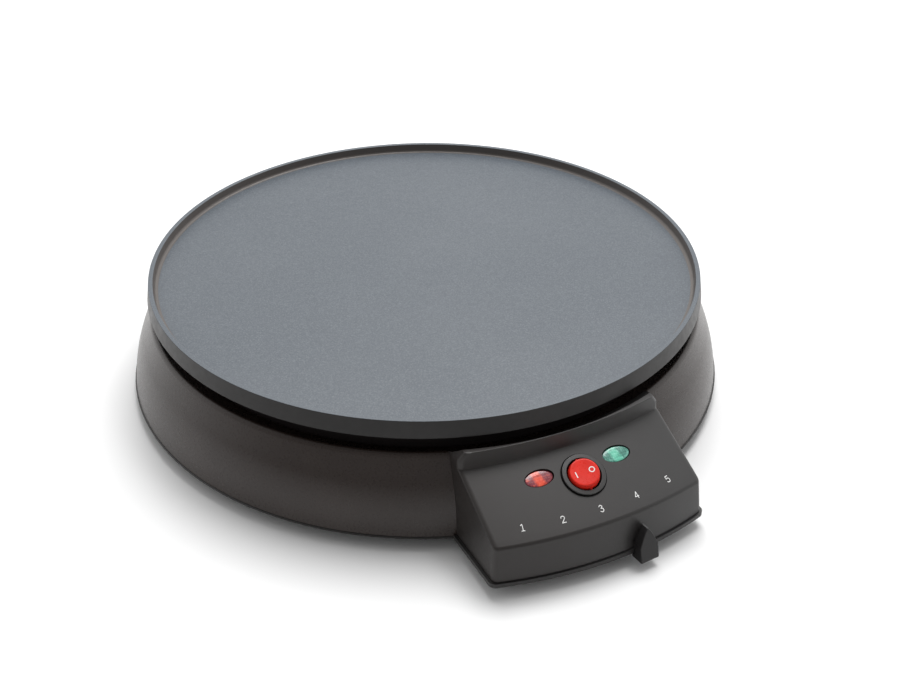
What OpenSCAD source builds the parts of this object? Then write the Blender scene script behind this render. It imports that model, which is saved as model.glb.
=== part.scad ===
// Round electric griddle: a cast plate with a raised rim on a conical base, with a control
// housing at the front that carries two lamps, a round rocker switch and a heat lever.
// Frame: +Z up, z = 0 where the feet stand, the control housing faces -Y, X = 0 is its middle.

/* [Plate] */
// Outer radius of the plate at the top of its rim
plate_r = 155; // [153:0.5:156]
// Height of the rim's top edge above the table
rim_z = 68; // [67.5:0.1:69]
// Height of the cooking surface above the table
surface_z = 63; // [62.5:0.1:63.5]
// Width of the flat land on top of the rim
rim_land = 2.5; // [2:0.1:3]
// Thickness of the plate's floor
floor_t = 3.8; // [3.4:0.1:3.9]
// Radius of the heating element's ring
element_r = 100; // [97:0.5:103]
// Radius of the sheathed tube of the element
tube_r = 3.5; // [3.2:0.1:3.5]

/* [Base] */
// Wall thickness of the mouldings
wall = 2.5; // [2.2:0.1:2.8]
// Radius of the bottom lip
lip_r = 169.2; // [169:0.1:169.5]
// Height of the underside of the bottom cover
cover_z = 6.4; // [6.3:0.1:6.5]
// Number of ventilation slots in the bottom cover
vents = 14; // [8:2:16]

/* [Control housing] */
// Half width of the panel at its top edge
panel_w = 56.5; // [56:0.1:57]
// Distance of the panel's top edge from the plate's axis
panel_back = 162.3; // [162:0.1:162.6]
// Distance of the panel's front break from the plate's axis
panel_front = 201.5; // [201.2:0.1:201.8]
// Height of the panel's top edge
panel_top_z = 46.1; // [46:0.1:46.3]
// Height of the panel's front break
panel_low_z = 27.7; // [27.5:0.1:27.9]
// Distance of the rocker switch from the plate's axis
switch_a = 177.5; // [177:0.5:179]
// Distance between the middle and a lamp lens, along X
lamp_x = 21.6; // [20.5:0.1:22]

/* [Controls] */
// Angle of the heat lever from the housing's middle, at rest
lever_az = 5.1; // [-11:0.1:11]
// Tilt of the rocker at rest
rocker_tilt = 9; // [9:1:9]
// Radius of the lever's shaft
shaft_r = 3.0; // [3:0.1:3]

/* [Hidden] */
$fn = 96;
// the plate's axis lies this far behind the middle of the whole footprint
axis_y = 21.15;
eps = 0.01;
// outside of the base, from the bottom seam to the rounded top edge
base_out = [[168.5, 7.9], [167.7, 14], [166.4, 20.5], [164.7, 26.5], [162.6, 32.4], [160.3, 37.7], [158.5, 42], [157.1, 45.4], [156.4, 47.1], [155.7, 48.3], [154.9, 48.95], [154, 49.15]];
// inside of the base wall, back down to the seam, with the flange that carries the plate
base_in = [[153.2, 48.8], [152.8, 48.0], [152.8, 43.2], [131, 43.2], [131, 41.0], [155.6, 41.0], [157.9, 36.6], [160.2, 31.4], [162.2, 25.8], [163.9, 20], [165.2, 13.6], [165.9, 7.9]];
slope = atan2(panel_top_z - panel_low_z, panel_front - panel_back);
switch_z = panel_top_z - (switch_a - panel_back) * tan(slope);
lens_a = 172.2;
lens_z = panel_top_z - (lens_a - (panel_back - 239 + sqrt(239 * 239 - lamp_x * lamp_x))) * tan(slope);
boss_pcr = 137;      // plate bosses
boss_az = [45, 135, 225, 315];
shell_boss_r = 158;  // screw bosses of the base
shell_boss_az = [62, 118, 180 - 18, 180 + 18, 242, 298];
foot_r = 142;
foot_az = [42, 138, 222, 318];

// a direction at angle az from the front (-Y), turning towards +X
module at(az, r) rotate([0, 0, az]) translate([0, -r, 0]) children();
module shift() translate([0, axis_y, 0]) children();
module tube(r1, r0, h) difference() { cylinder(r = r1, h = h); translate([0, 0, -1]) cylinder(r = r0, h = h + 2); }
// an upright solid on an oval of width w and depth d
module oval(w, d, h) linear_extrude(h) polygon([for (i = [0 : 63]) [w / 2 * cos(i * 5.625), d / 2 * sin(i * 5.625)]]);
module panel_frame(x, a, z, turn) translate([x, -a, z]) rotate([0, 0, turn]) rotate([slope, 0, 0]) children();
module switch_frame() panel_frame(0, switch_a, switch_z, 0) children();
module lens_frame(s) panel_frame(s * lamp_x, lens_a, lens_z, 0) children();
// a wire: one tube swept along a smooth curve through hand-set points
function unit(v) = v / norm(v);
function spline(a, b, c, d, t) = 0.5 * (2 * b + (c - a) * t + (2 * a - 5 * b + 4 * c - d) * t * t + (-a + 3 * b - 3 * c + d) * t * t * t);
function smooth(p, k) = let (n = len(p) - 1) concat([for (i = [0 : n - 1]) for (j = [0 : k - 1]) spline(p[max(i - 1, 0)], p[i], p[i + 1], p[min(i + 2, n)], j / k)], [p[n]]);
function ways(p) = let (n = len(p) - 1) [for (i = [0 : n]) unit(p[min(i + 1, n)] - p[max(i - 1, 0)])];
function sides(w, i, u, out) = i == len(w) ? out : let (q = unit(u - (u * w[i]) * w[i])) sides(w, i + 1, q, concat(out, [q]));
module wire(pts, r, m = 8, k = 5) {
    p = smooth(pts, k);
    w = ways(p);
    u = sides(w, 0, cross(w[0], [0.31, 0.17, 0.93]), []);
    n = len(p);
    polyhedron(
        points = [for (i = [0 : n - 1]) for (j = [0 : m - 1]) p[i] + r * (cos(360 * j / m) * u[i] + sin(360 * j / m) * cross(w[i], u[i]))],
        faces = concat([[for (j = [0 : m - 1]) j]], [[for (j = [m - 1 : -1 : 0]) (n - 1) * m + j]],
            [for (i = [0 : n - 2]) for (j = [0 : m - 1]) [i * m + j, (i + 1) * m + j, (i + 1) * m + (j + 1) % m]],
            [for (i = [0 : n - 2]) for (j = [0 : m - 1]) [i * m + j, (i + 1) * m + (j + 1) % m, i * m + (j + 1) % m]]));
}

// plan outline of the housing: half width w, front arc of radius rr whose middle is at distance front, rounded corners c
function outline(w, front, rr, back, c, n = 28, m = 6) =
    let (a0 = front - rr, ac = a0 + sqrt((rr - c) * (rr - c) - (w - c) * (w - c)), th = atan2(w - c, ac - a0))
    concat([[w, -back]],
        [for (i = [0 : m]) let (f = 90 - (90 - th) * i / m) [w - c + c * sin(f), -(ac + c * cos(f))]],
        [for (i = [1 : n - 1]) let (f = th - 2 * th * i / n) [rr * sin(f), -(a0 + rr * cos(f))]],
        [for (i = [0 : m]) let (f = -th - (90 - th) * i / m) [-(w - c) + c * sin(f), -(ac + c * cos(f))]],
        [[-w, -back]]);
module level(z, w, front, rr, back, c) translate([0, 0, z]) linear_extrude(eps) polygon(outline(w, front, rr, back, c));
module housing_low(d) hull() {
    level(9.2 - (d > 0 ? 3 : 0), panel_w + 2.2 - d, 205.0 - d, 205 - d, 120, 3.2 - d);
    level(panel_low_z - 1.4 - d * 1.05, panel_w + 1.05 - d, panel_front + 0.35 - d, 238, 120, 3.2 - d);
    level(panel_low_z + 0.5 - d * 1.1, panel_w + 0.95 - d, panel_front - 1.4 - d, 238, 120, 3.2 - d);
    level(panel_top_z - d * 1.1, panel_w - d, panel_back - d * 0.1, 239, 120, 3.2 - d);
}
module housing_ridge() hull() {
    level(panel_top_z - 3, panel_w, panel_back, 239, 120, 3.2);
    level(panel_top_z + 5.0, panel_w - 0.4, panel_back - 0.4, 239, 120, 3);
    level(panel_top_z + 7.6, panel_w - 1.6, panel_back - 0.6, 239, 120, 2.6);
    level(panel_top_z + 8.6, panel_w - 3.2, panel_back - 0.8, 239, 120, 2.4);
    level(panel_top_z + 9.0, panel_w - 5.6, panel_back - 1.5, 239, 120, 2);
}
// the solid of the base's outside, grown by g, with the space under the plate
module base_envelope(g) rotate_extrude($fn = 180) polygon(concat([[0, -5], [168.5 + g, -5]], [for (p = base_out) [p[0] + g, p[1]]], [[154 + g, 49.4], [157.6, 51.2], [163, 56.6], [163, 80], [0, 80]]));

module cooking_plate() color([0.32, 0.34, 0.37]) shift() difference() {
    union() {
        rotate_extrude($fn = 180) polygon([[0, surface_z - floor_t], [0, surface_z], [plate_r - rim_land - 2.7, surface_z], [plate_r - rim_land - 1.7, surface_z + 0.25], [plate_r - rim_land - 1.1, surface_z + 0.8], [plate_r - rim_land - 0.75, surface_z + 1.7], [plate_r - rim_land - 0.25, rim_z - 0.4], [plate_r - rim_land - 0.05, rim_z - 0.08], [plate_r - rim_land + 0.2, rim_z], [plate_r - 0.2, rim_z], [plate_r, rim_z - 0.2], [plate_r + 1.35, surface_z - 4.15], [plate_r + 1.15, surface_z - 4.45], [plate_r - 3.0, surface_z - 4.45], [plate_r - 4.0, surface_z - 4.2], [plate_r - 5.0, surface_z - floor_t]]);
        translate([0, 0, surface_z - floor_t - 4]) tube(element_r + 7, element_r - 7, 4.5);
        for (az = boss_az) at(az, boss_pcr) translate([0, 0, 48]) cylinder(r = 6, h = 12);
        translate([0, 0, 53.6]) cylinder(r = 15, h = 6);
        for (x = [-35, 35]) translate([x, 0, 54]) cylinder(r = 6, h = 5.5);
    }
    translate([0, 0, surface_z - floor_t - 4]) rotate_extrude($fn = 180) translate([element_r, 0]) circle(r = tube_r + 0.06, $fn = 48);
    for (az = boss_az) at(az, boss_pcr) translate([0, 0, 40]) cylinder(r = 2.05, h = 18);
    for (x = [-35, 35]) translate([x, 0, 50]) cylinder(r = 1.65, h = 8);
    for (az = [60, 180, 300]) for (s = [-1, 1]) at(az, element_r + s * 5.5) translate([0, 0, 50]) cylinder(r = 1.05, h = 8, $fn = 48);
}
module heating_element() color([0.45, 0.42, 0.40]) shift() {
    translate([0, 0, surface_z - floor_t - 4]) {
        rotate([0, 0, -90 + 14]) rotate_extrude(angle = 332, $fn = 180) translate([element_r, 0]) circle(r = tube_r, $fn = 48);
        for (s = [-14, 14]) at(s, element_r) { sphere(r = tube_r, $fn = 48); translate([0, 0, -21]) cylinder(r = tube_r, h = 21, $fn = 48); }
    }
}
module element_terminals() color([0.78, 0.66, 0.38]) shift() for (s = [-14, 14]) at(s, element_r) {
    translate([0, 0, 30.2]) cylinder(r = 1.5, h = 4, $fn = 48);
    translate([-3.15, -0.4, 22]) cube([6.3, 0.8, 8.4]);
}
module element_clips() color([0.7, 0.7, 0.72]) shift() for (az = [60, 180, 300]) at(az, element_r) translate([0, 0, surface_z - floor_t - 4]) difference() {
    translate([-5, -7, -4.6]) cube([10, 14, 4.55]);
    rotate([0, 90, 0]) translate([0, 0, -6]) cylinder(r = tube_r + 0.18, h = 12, $fn = 48);
    for (s = [-1, 1]) translate([0, s * 5.5, -6]) cylinder(r = 1.15, h = 8, $fn = 48);
    for (s = [-1, 1]) translate([-6, s > 0 ? 4.0 : -10.0, -6]) cube([12, 6, 4.6]);
}
module clip_screws() color([0.8, 0.8, 0.82]) shift() for (az = [60, 180, 300]) for (s = [-1, 1]) at(az, element_r - s * 5.5) {
    translate([0, 0, 53.6]) cylinder(r = 1.0, h = 4.2, $fn = 48);
    translate([0, 0, 52.1]) cylinder(r = 1.4, h = 1.65, $fn = 48);
}
module heat_reflector() color([0.75, 0.76, 0.77]) shift() difference() {
    rotate_extrude($fn = 180) polygon([[24, 43.2], [142.8, 43.2], [144.2, 44.4], [146.2, 57.4], [145.4, 57.6], [143.5, 45.0], [142.4, 44.0], [24, 44.0]]);
    for (az = boss_az) at(az, boss_pcr) translate([0, 0, 40]) cylinder(r = 2.5, h = 8);
    for (s = [-14, 14]) at(s, element_r) translate([0, 0, 40]) cylinder(r = 7, h = 8);
    for (x = [-35, 35]) translate([x, 0, 40]) cylinder(r = 9, h = 8);
    translate([-35, -9, 40]) cube([70, 18, 8]);
    translate([30.6, 71.6, 40]) cylinder(r = 5, h = 8);
}
module plate_spacers() color([0.9, 0.88, 0.82]) shift() for (az = boss_az) at(az, boss_pcr) translate([0, 0, 44.0]) tube(5.2, 2.3, 4.0);
module plate_screws() color([0.75, 0.75, 0.77]) shift() for (az = boss_az) at(az, boss_pcr) {
    translate([0, 0, 40]) cylinder(r = 1.98, h = 16);
    difference() { translate([0, 0, 37.2]) cylinder(r = 3.8, h = 2.81); translate([-0.5, -5, 36.5]) cube([1, 10, 1.7]); translate([-5, -0.5, 36.5]) cube([10, 1, 1.7]); }
}
module fibre_washers() color([0.55, 0.5, 0.42]) shift() for (az = boss_az) at(az, boss_pcr) translate([0, 0, 40.01]) tube(5.2, 2.15, 0.98);

module base_shell() color([0.16, 0.14, 0.135]) shift() difference() {
    union() {
        rotate_extrude($fn = 180) polygon(concat(base_out, base_in));
        intersection() {
            for (az = shell_boss_az) at(az, shell_boss_r) { translate([0, 0, 8.92]) cylinder(r = 4.5, h = 26); translate([-1, -8, 12]) cube([2, 6, 20]); }
            base_envelope(-0.8);
        }
        intersection() { translate([0, 155, 24]) rotate([-90, 0, 0]) cylinder(r = 11.5, h = 12.65); base_envelope(6); }
    }
    for (az = boss_az) at(az, boss_pcr) translate([0, 0, 36]) cylinder(r = 2.5, h = 12);
    for (az = shell_boss_az) at(az, shell_boss_r) translate([0, 0, 7]) cylinder(r = 1.55, h = 22);
    // window into the control housing
    translate([-50, -175, 5]) cube([100, 60, 34.2]);
    // hole for the cord gland
    translate([0, 140, 24]) rotate([-90, 0, 0]) cylinder(r = 7.1, h = 40);
}
module control_housing() color([0.29, 0.285, 0.28]) shift() difference() {
    union() {
        difference() {
            union() { housing_low(0); housing_ridge(); }
            housing_low(wall);
            base_envelope(0.12);
        }
        for (s = [-1, 1]) translate([s * 51.6, -189, 8.92]) cylinder(r = 4.2, h = 16);
        for (s = [-1, 1]) translate([s * 51.6 - (s > 0 ? 0 : 4.6), -190, 9.2]) cube([4.6, 2, 14]);
    }
    for (s = [-1, 1]) translate([s * 51.6, -189, 7]) cylinder(r = 1.55, h = 15.6);
    switch_frame() translate([0, 0, -12]) cylinder(r = 10.1, h = 24);
    for (s = [-1, 1]) lens_frame(s) translate([0, 0, -10]) oval(15.6, 9.0, 20);
}
module bottom_cover() color([0.13, 0.12, 0.115]) shift() difference() {
    union() {
        rotate_extrude($fn = 180) polygon([[0, cover_z], [lip_r - 0.6, cover_z], [lip_r, cover_z + 0.5], [lip_r, cover_z + 0.9], [lip_r - 0.5, cover_z + 1.35], [165.6, cover_z + 1.35], [165.6, cover_z + 2.5], [0, cover_z + 2.5]]);
        translate([0, 0, cover_z]) linear_extrude(2.3) polygon(outline(60.2, 206.0, 206, 120, 4));
        translate([0, 0, cover_z]) linear_extrude(2.5) polygon(outline(59.0, 204.8, 205, 120, 3.4));
        for (az = foot_az) at(az, foot_r) translate([0, 0, cover_z]) cylinder(r = 5, h = 9);
        // stiffening rings
        translate([0, 0, cover_z + 2]) tube(121, 119, 2.2);
        translate([0, 0, cover_z + 2]) tube(61, 59, 2.2);
    }
    for (az = foot_az) at(az, foot_r) translate([0, 0, 0]) cylinder(r = 1.85, h = 14.5);
    for (az = shell_boss_az) at(az, shell_boss_r) { translate([0, 0, 0]) cylinder(r = 1.9, h = 12); translate([0, 0, 0]) cylinder(r = 3.7, h = 7.6); }
    for (s = [-1, 1]) translate([s * 51.6, -189, 0]) { cylinder(r = 1.9, h = 12); cylinder(r = 3.7, h = 7.6); }
    for (i = [0 : vents - 1]) rotate([0, 0, i * 360 / vents + 180 / vents]) { translate([70, -2, 0]) cube([40, 4, 20]); translate([70, 0, 0]) cylinder(r = 2, h = 20); translate([110, 0, 0]) cylinder(r = 2, h = 20); }
    // rebate under the edge of the base's wall
    translate([0, 0, cover_z + 1.35]) tube(168.8, 165.6, 3);
    // curved slot for the heat lever
    rotate([0, 0, -90 - 16]) rotate_extrude(angle = 32, $fn = 180) translate([181, 0]) square([8, 20]);
}
module rubber_feet() color([0.1, 0.1, 0.1]) shift() for (az = foot_az) at(az, foot_r) difference() {
    rotate_extrude() polygon([[0, 0], [8.4, 0], [9.2, 0.8], [9.8, cover_z], [0, cover_z]]);
    translate([0, 0, -1]) cylinder(r = 2.1, h = 10);
    translate([0, 0, -1]) cylinder(r = 4.0, h = 4.4);
}
module foot_screws() color([0.75, 0.75, 0.77]) shift() for (az = foot_az) at(az, foot_r) {
    translate([0, 0, 3.41]) cylinder(r = 1.8, h = 10);
    difference() { translate([0, 0, 1.4]) cylinder(r = 3.6, h = 2.0); translate([-0.5, -5, 1]) cube([1, 10, 1.2]); translate([-5, -0.5, 1]) cube([10, 1, 1.2]); }
    translate([0, 0, 3.3]) cylinder(r = 1.8, h = 0.2);
}
module cover_screw() {
    translate([0, 0, 7.5]) cylinder(r = 1.5, h = 14);
    difference() { translate([0, 0, 6.5]) cylinder(r = 3.4, h = 1.09); translate([-0.5, -5, 6.2]) cube([1, 10, 0.8]); translate([-5, -0.5, 6.2]) cube([10, 1, 0.8]); }
}
module cover_screws() color([0.75, 0.75, 0.77]) shift() {
    for (az = shell_boss_az) at(az, shell_boss_r) cover_screw();
    for (s = [-1, 1]) translate([s * 51.6, -189, 0]) cover_screw();
}

module thermostat_body() color([0.85, 0.83, 0.78]) shift() difference() {
    rotate_extrude() polygon([[0, 30], [5, 30], [5, 36.1], [12.5, 36.1], [13, 36.6], [13, 46], [10, 46.6], [10, 53.5], [0, 53.5]]);
    translate([0, 0, 20]) cylinder(r = shaft_r + 0.05, h = 27);
}
module thermostat_bracket() color([0.7, 0.7, 0.72]) shift() difference() {
    union() {
        translate([-29, -7, 34.8]) cube([58, 14, 1.2]);
        for (s = [-1, 1]) translate([s > 0 ? 27.8 : -29, -7, 34.8]) cube([1.2, 14, 19.2]);
        for (s = [-1, 1]) translate([s > 0 ? 27.8 : -41, -7, 52.8]) cube([13.2, 14, 1.2]);
    }
    translate([0, 0, 30]) cylinder(r = 5.1, h = 10);
    for (x = [-35, 35]) translate([x, 0, 50]) cylinder(r = 1.8, h = 6);
}
module bracket_screws() color([0.8, 0.8, 0.82]) shift() for (x = [-35, 35]) translate([x, 0, 0]) {
    translate([0, 0, 52.7]) cylinder(r = 1.6, h = 5);
    translate([0, 0, 50.8]) cylinder(r = 3, h = 1.99);
}
module thermostat_terminals() color([0.78, 0.66, 0.38]) shift() for (s = [-1, 1]) {
    translate([s * 4, 13.05, 40]) translate([-3.15, 0, 0]) cube([6.3, 9, 0.8]);
}
module lever_shaft() color([0.72, 0.72, 0.74]) shift() union() {
    translate([0, 0, 10.6]) cylinder(r = shaft_r, h = 36);
    translate([0, 0, 14.35]) cylinder(r = 5.2, h = 2);
}
module lever_arm() color([0.62, 0.62, 0.64]) shift() rotate([0, 0, lever_az]) difference() {
    union() {
        translate([0, 0, 12.3]) cylinder(r = 9, h = 2);
        translate([-6, -186, 12.3]) cube([12, 186, 2]);
        translate([-6, -186, 4.3]) cube([12, 1.6, 9]);
        translate([-6, -196, 4.3]) cube([12, 11, 1.6]);
        translate([-2.5, -210.2, 4.3]) cube([5, 16, 1.6]);
        translate([-2.5, -210.2, 4.3]) cube([5, 1.5, 9]);
    }
    translate([0, 0, 5]) cylinder(r = shaft_r + 0.03, h = 12);
}
module lever_nut() color([0.75, 0.72, 0.6]) shift() rotate([0, 0, lever_az]) difference() {
    translate([0, 0, 10.0]) cylinder(r = 5.6, h = 2.28, $fn = 6);
    translate([0, 0, 5]) cylinder(r = shaft_r + 0.03, h = 12);
}
// the pointer: pointed-arch front, thinner towards its tip
function arch(s) = 5.3 * pow(1 - s, 0.75);
module lever_knob() color([0.15, 0.14, 0.14]) shift() rotate([0, 0, lever_az]) difference() {
    intersection() {
        translate([0, -200, 0]) rotate([90, 0, 0]) linear_extrude(20) polygon(concat([[-5.3, 4.3], [-4.9, 4.0], [4.9, 4.0], [5.3, 4.3]], [for (i = [0 : 19]) [arch(i / 20), 12.4 + 9.2 * i / 20]], [[0.45, 21.6], [-0.45, 21.6]], [for (i = [19 : -1 : 0]) [-arch(i / 20), 12.4 + 9.2 * i / 20]]));
        rotate([90, 0, 90]) translate([0, 0, -10]) linear_extrude(20) polygon([[-203.8, 3], [-203.8, 5.95], [-206.5, 5.95], [-206.5, 9.1], [-205.5, 12], [-203.9, 22.5], [-208.3, 22.5], [-208.8, 21], [-212.8, 5.2], [-212.4, 3]]);
    }
    translate([-2.6, -210.4, 3]) cube([5.2, 8, 2.95]);
    translate([-2.6, -210.3, 3]) cube([5.2, 1.7, 10.4]);
}

module switch_body() color([0.11, 0.11, 0.11]) shift() switch_frame() difference() {
    union() {
        rotate_extrude() polygon([[8.5, 0.7], [8.9, 1.2], [10.5, 1.2], [11.05, 0.95], [11.4, 0.5], [11.4, 0.05], [9.95, 0.05], [9.95, -13], [0, -13], [0, -10], [8.5, -10]]);
        for (s = [-1, 1]) translate([s > 0 ? 9.8 : -11.2, -2.5, -6]) cube([1.4, 5, 2.6]);
    }
    rotate([90, 0, 0]) translate([0, 0, -9.5]) cylinder(r = 0.75, h = 19);
    for (s = [-1, 1]) translate([s * 4.4 - 0.45, -3.2, -16]) cube([0.9, 6.4, 8]);
}
module rocker_button() color([0.88, 0.12, 0.08]) shift() switch_frame() rotate([0, -rocker_tilt, 0]) union() {
    intersection() {
        sphere(r = 7.95);
        translate([-10, -10, -4.2]) cube([20, 20, 7.75]);
    }
    rotate([90, 0, 0]) translate([0, 0, -9.4]) cylinder(r = 0.7, h = 18.8);
}
module switch_terminals() color([0.78, 0.66, 0.38]) shift() switch_frame() for (s = [-1, 1]) translate([s * 4.4 - 0.4, -3.15, -21]) cube([0.8, 6.3, 12.9]);
module lens() union() {
    translate([0, 0, -4.2]) oval(15.0, 8.4, 3.75);
    translate([0, 0, -5.4]) oval(17.6, 11.0, 1.6);
}
module red_lens() color([0.8, 0.2, 0.12]) shift() lens_frame(-1) lens();
module green_lens() color([0.25, 0.75, 0.6]) shift() lens_frame(1) lens();
module neon_lamps() color([0.9, 0.85, 0.8]) shift() for (s = [-1, 1]) lens_frame(s) translate([-5.5, 0, -9]) rotate([0, 90, 0]) { cylinder(r = 2.5, h = 9, $fn = 48); translate([0, 0, 9]) sphere(r = 2.5, $fn = 48); }
module lamp_holders() color([0.92, 0.9, 0.86]) shift() for (s = [-1, 1]) lens_frame(s) difference() {
    translate([-7, -4.4, -13]) cube([15, 8.8, 7.5]);
    translate([-5.8, 0, -9]) rotate([0, 90, 0]) cylinder(r = 2.6, h = 15, $fn = 48);
    translate([-5.8, -2.6, -9]) cube([15, 5.2, 5]);
}

module terminal_block() color([0.88, 0.87, 0.84]) shift() difference() {
    translate([-19, 122, cover_z + 2.5]) cube([38, 15, 13]);
    for (x = [-12, 0, 12]) translate([x, 118, 15.5]) rotate([-90, 0, 0]) cylinder(r = 2.6, h = 24);
    for (x = [-12, 0, 12]) for (y = [126, 133]) translate([x, y, 15]) cylinder(r = 1.9, h = 10);
}
module terminal_screws() color([0.78, 0.66, 0.38]) shift() for (x = [-12, 0, 12]) for (y = [126, 133]) translate([x, y, 17.0]) cylinder(r = 1.8, h = 4.2, $fn = 48);
module thermal_fuse() color([0.85, 0.85, 0.82]) shift() translate([-7, 46, 56.5]) rotate([0, 90, 0]) cylinder(r = 2.2, h = 14, $fn = 48);
module fuse_clip() color([0.7, 0.7, 0.72]) shift() difference() {
    translate([-3, 42.6, 53.4]) cube([6, 6.8, 5.75]);
    translate([-5, 46, 56.5]) rotate([0, 90, 0]) cylinder(r = 2.25, h = 12, $fn = 48);
    translate([-5, 44.6, 56.5]) cube([10, 2.8, 5]);
}
module cord_gland() color([0.1, 0.1, 0.1]) shift() translate([0, 0, 24]) rotate([-90, 0, 0]) difference() {
    rotate_extrude() polygon([[0, 150], [6.9, 150], [6.9, 167.7], [9.6, 167.7], [9.6, 169.3], [8.8, 169.95], [0, 169.95]]);
    translate([0, 0, 140]) cylinder(r = 3.8, h = 40);
}
module gland_nut() color([0.12, 0.12, 0.12]) shift() translate([0, 0, 24]) rotate([-90, 0, 0]) difference() {
    translate([0, 0, 150.9]) cylinder(r = 10.5, h = 4.0, $fn = 6);
    translate([0, 0, 140]) cylinder(r = 6.95, h = 20);
}
module live_wire() color([0.45, 0.25, 0.12]) shift() wire([[12, 121.5, 15.5], [12, 108, 17], [60, 90, 20], [104, 30, 21], [92, -60, 21], [44, -128, 22], [12, -150, 23], [4.4, -164.3, 21.4]], 1.3);
module neutral_wire() color([0.15, 0.25, 0.6]) shift() wire([[-12, 121.5, 15.5], [-12, 108, 17], [-60, 90, 20], [-104, 30, 21], [-92, -40, 22], [-52, -84, 22], [-26.5, -96, 19.6]], 1.3);
module earth_wire() color([0.35, 0.6, 0.2]) shift() wire([[0, 121.5, 15.5], [0, 96, 22], [30, 74, 36], [31, 70, 48.6]], 1.3);
module earth_tab() color([0.78, 0.66, 0.38]) shift() { translate([27, 66.5, 50]) cube([8, 7, 0.8]); translate([31, 70, 50.8]) cylinder(r = 2.6, h = 8.35, $fn = 48); }

cooking_plate();
heating_element();
element_terminals();
element_clips();
clip_screws();
heat_reflector();
plate_spacers();
plate_screws();
fibre_washers();
base_shell();
control_housing();
bottom_cover();
rubber_feet();
foot_screws();
cover_screws();
thermostat_body();
thermostat_bracket();
bracket_screws();
thermostat_terminals();
lever_shaft();
lever_arm();
lever_nut();
lever_knob();
switch_body();
rocker_button();
switch_terminals();
red_lens();
green_lens();
neon_lamps();
lamp_holders();
terminal_block();
terminal_screws();
thermal_fuse();
fuse_clip();
cord_gland();
gland_nut();
live_wire();
neutral_wire();
earth_wire();
earth_tab();
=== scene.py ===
import math

import bmesh
import bpy
from mathutils import Matrix, Vector


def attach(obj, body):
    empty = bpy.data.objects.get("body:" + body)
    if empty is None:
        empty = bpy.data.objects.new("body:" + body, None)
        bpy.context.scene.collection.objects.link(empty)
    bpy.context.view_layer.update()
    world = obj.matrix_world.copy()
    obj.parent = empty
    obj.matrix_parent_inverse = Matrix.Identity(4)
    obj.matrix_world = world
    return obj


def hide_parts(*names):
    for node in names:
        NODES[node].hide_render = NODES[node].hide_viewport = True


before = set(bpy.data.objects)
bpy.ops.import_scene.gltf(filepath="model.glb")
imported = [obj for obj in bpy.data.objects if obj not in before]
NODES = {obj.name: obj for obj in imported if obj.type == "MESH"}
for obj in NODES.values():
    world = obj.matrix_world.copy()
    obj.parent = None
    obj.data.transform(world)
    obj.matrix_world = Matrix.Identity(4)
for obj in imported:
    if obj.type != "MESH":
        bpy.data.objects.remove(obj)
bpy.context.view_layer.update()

# Lengths below are millimetres about the plate's axis, with z = 0 on the table and the control
# housing towards -Y. to_m() moves a point into the shared frame.
AXIS_Y = 21.15
MM = 0.001


def to_m(p):
    return (p[0] * MM, (p[1] + AXIS_Y) * MM, p[2] * MM)


# ---------------------------------------------------------------- camera, floor and light

def make_camera():
    tilt, spin = math.radians(33.1034), math.radians(-26.33)
    right = Vector((1, 0, 0))
    up = Vector((0, math.sin(tilt), math.cos(tilt)))
    ahead = Vector((0, math.cos(tilt), -math.sin(tilt)))
    eye = right * 14.28 + up * -44.931 - ahead * 768.197
    turn = Matrix.Rotation(spin, 3, "Z")
    eye = turn @ eye + Vector((0, AXIS_Y, 68.0))
    right, up, ahead = turn @ right, turn @ up, turn @ ahead
    cam = bpy.data.cameras.new("camera")
    cam.sensor_width = 36.0
    cam.lens = 54.0
    cam.clip_start, cam.clip_end = 0.02, 50.0
    ob = bpy.data.objects.new("camera", cam)
    m = Matrix.Identity(4)
    for i in range(3):
        m[i][0], m[i][1], m[i][2], m[i][3] = right[i], up[i], -ahead[i], eye[i] * MM
    ob.matrix_world = m
    bpy.context.scene.collection.objects.link(ob)
    bpy.context.scene.camera = ob


def area_light(name, place, aim, size_x, size_y, power, colour=(1, 1, 1)):
    data = bpy.data.lights.new(name, "AREA")
    data.shape = "RECTANGLE"
    data.size, data.size_y = size_x, size_y
    data.energy = power
    data.color = colour
    ob = bpy.data.objects.new(name, data)
    ob.location = place
    ob.rotation_euler = (Vector(aim) - Vector(place)).to_track_quat("-Z", "Y").to_euler()
    bpy.context.scene.collection.objects.link(ob)
    return ob


# ---------------------------------------------------------------- node helpers

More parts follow.
